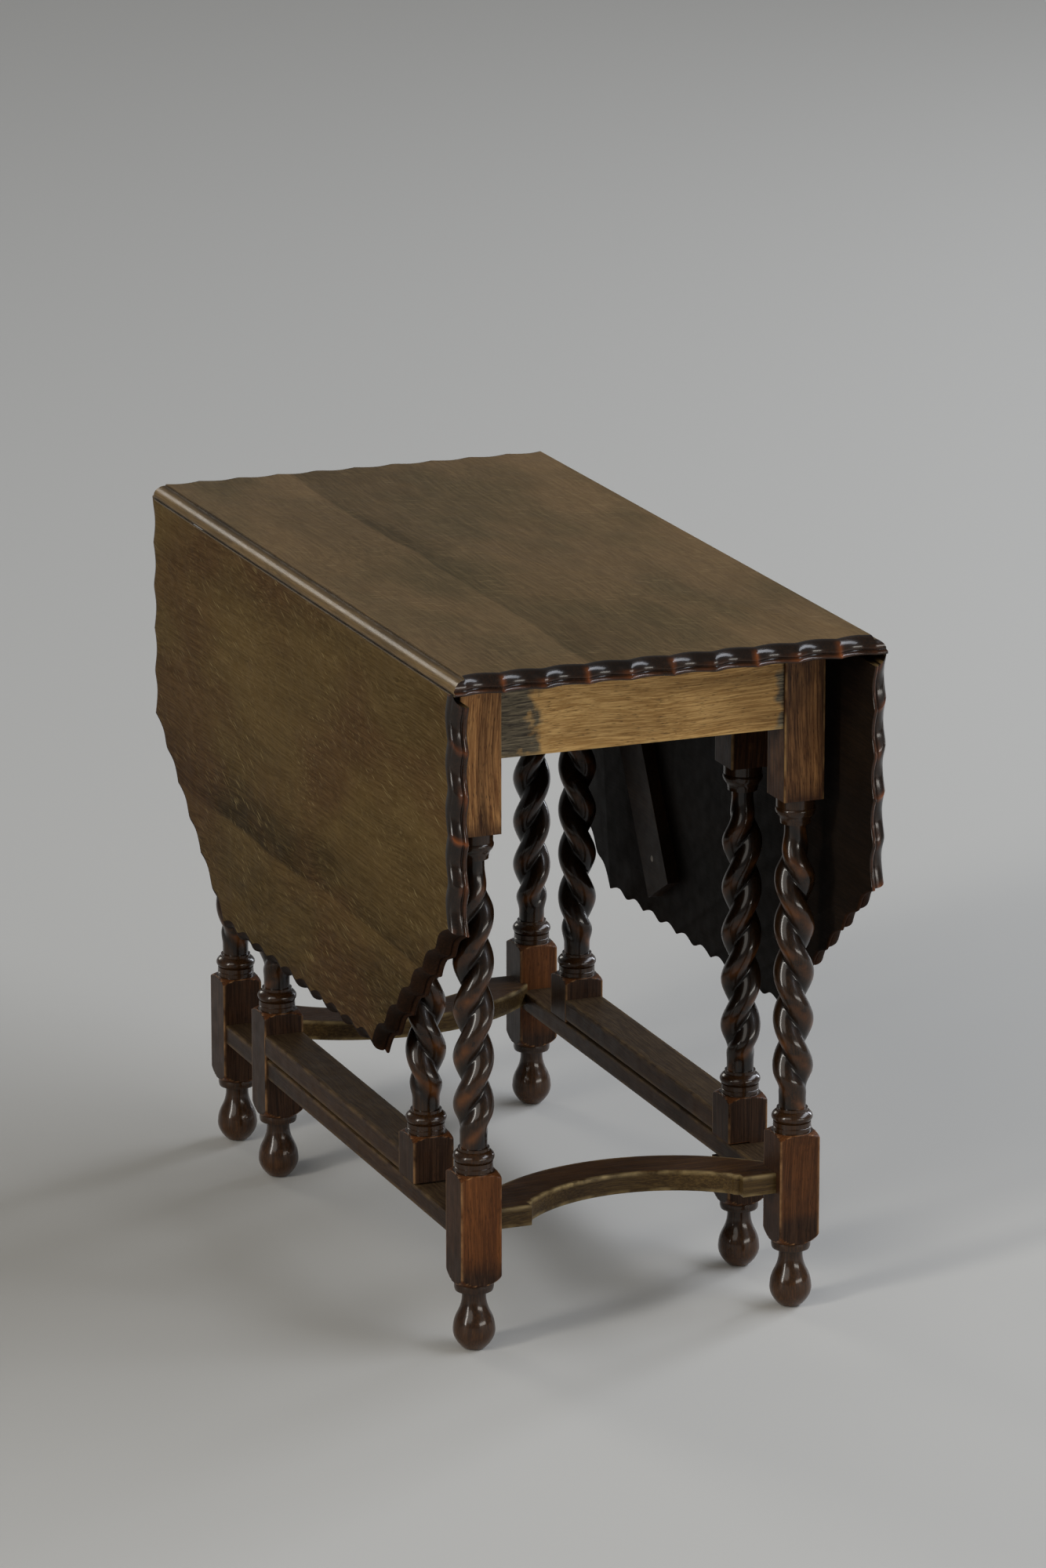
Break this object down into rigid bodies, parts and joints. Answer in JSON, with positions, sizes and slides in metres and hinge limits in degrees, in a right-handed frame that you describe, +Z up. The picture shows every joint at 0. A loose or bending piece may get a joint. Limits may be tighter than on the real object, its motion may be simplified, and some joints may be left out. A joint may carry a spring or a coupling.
{
  "type": "drop-leaf gateleg dining table",
  "caption": "Gateleg table with a fixed top, canted drop leaves on rule joints, pie-crust edges, double-twist legs, curved end stretchers and swinging gates.",
  "frame": {"origin": "on the floor, under the middle of the fixed top", "axes": "+X across the table from leaf to leaf, +Y along its length, +Z up"},
  "size_m": [0.473, 0.926, 0.735],
  "materials": {
    "top_oak": "satin",
    "frame_oak": "gloss",
    "hinge_iron": "satin",
    "steel": "satin",
    "brass": "satin"
  },
  "bodies": {
    "frame": {"top_board": "top_oak", "leg_front_left": "frame_oak", "leg_front_right": "frame_oak", "leg_back_left": "frame_oak", "leg_back_right": "frame_oak", "apron_front": "frame_oak", "apron_back": "frame_oak", "side_rail_left": "frame_oak", "side_rail_right": "frame_oak", "stretcher_front": "frame_oak", "stretcher_back": "frame_oak", "stretcher_left": "frame_oak", "stretcher_right": "frame_oak", "hinge_top_plates_left": "hinge_iron", "hinge_top_plates_right": "hinge_iron", "hinge_pins_left": "steel", "hinge_pins_right": "steel", "hinge_top_screws_left": "steel", "hinge_top_screws_right": "steel", "top_screws": "steel", "foot_glides_frame": "brass"},
    "drop_leaf_left": {"leaf_left": "top_oak", "leaf_stop_left": "frame_oak", "leaf_stop_screws_left": "steel", "hinge_leaf_plates_left": "hinge_iron", "hinge_leaf_screws_left": "steel"},
    "drop_leaf_right": {"leaf_right": "top_oak", "leaf_stop_right": "frame_oak", "leaf_stop_screws_right": "steel", "hinge_leaf_plates_right": "hinge_iron", "hinge_leaf_screws_right": "steel"},
    "gate_left": {"gate_leg_left": "frame_oak", "gate_stile_left": "frame_oak", "gate_lower_rail_left": "frame_oak", "gate_upper_rail_left": "frame_oak", "gate_pivots_left": "steel", "foot_glide_gate_left": "brass"},
    "gate_right": {"gate_leg_right": "frame_oak", "gate_stile_right": "frame_oak", "gate_lower_rail_right": "frame_oak", "gate_upper_rail_right": "frame_oak", "gate_pivots_right": "steel", "foot_glide_gate_right": "brass"}
  },
  "joints": [
    {"name": "leaf_left_hinge", "type": "hinge", "parent": "frame", "child": "drop_leaf_left", "pos_m": [-0.2205, 0, 0.719], "axis": [0, 1, 0], "range_deg": [0, 90]},
    {"name": "leaf_right_hinge", "type": "hinge", "parent": "frame", "child": "drop_leaf_right", "pos_m": [0.2205, 0, 0.719], "axis": [0, -1, 0], "range_deg": [0, 90]},
    {"name": "gate_left_swing", "type": "hinge", "parent": "frame", "child": "gate_left", "pos_m": [-0.1765, -0.228, 0.4], "axis": [0, 0, 1], "range_deg": [0, 2.2]},
    {"name": "gate_right_swing", "type": "hinge", "parent": "frame", "child": "gate_right", "pos_m": [0.1765, 0.228, 0.4], "axis": [0, 0, 1], "range_deg": [0, 2.2]}
  ]
}
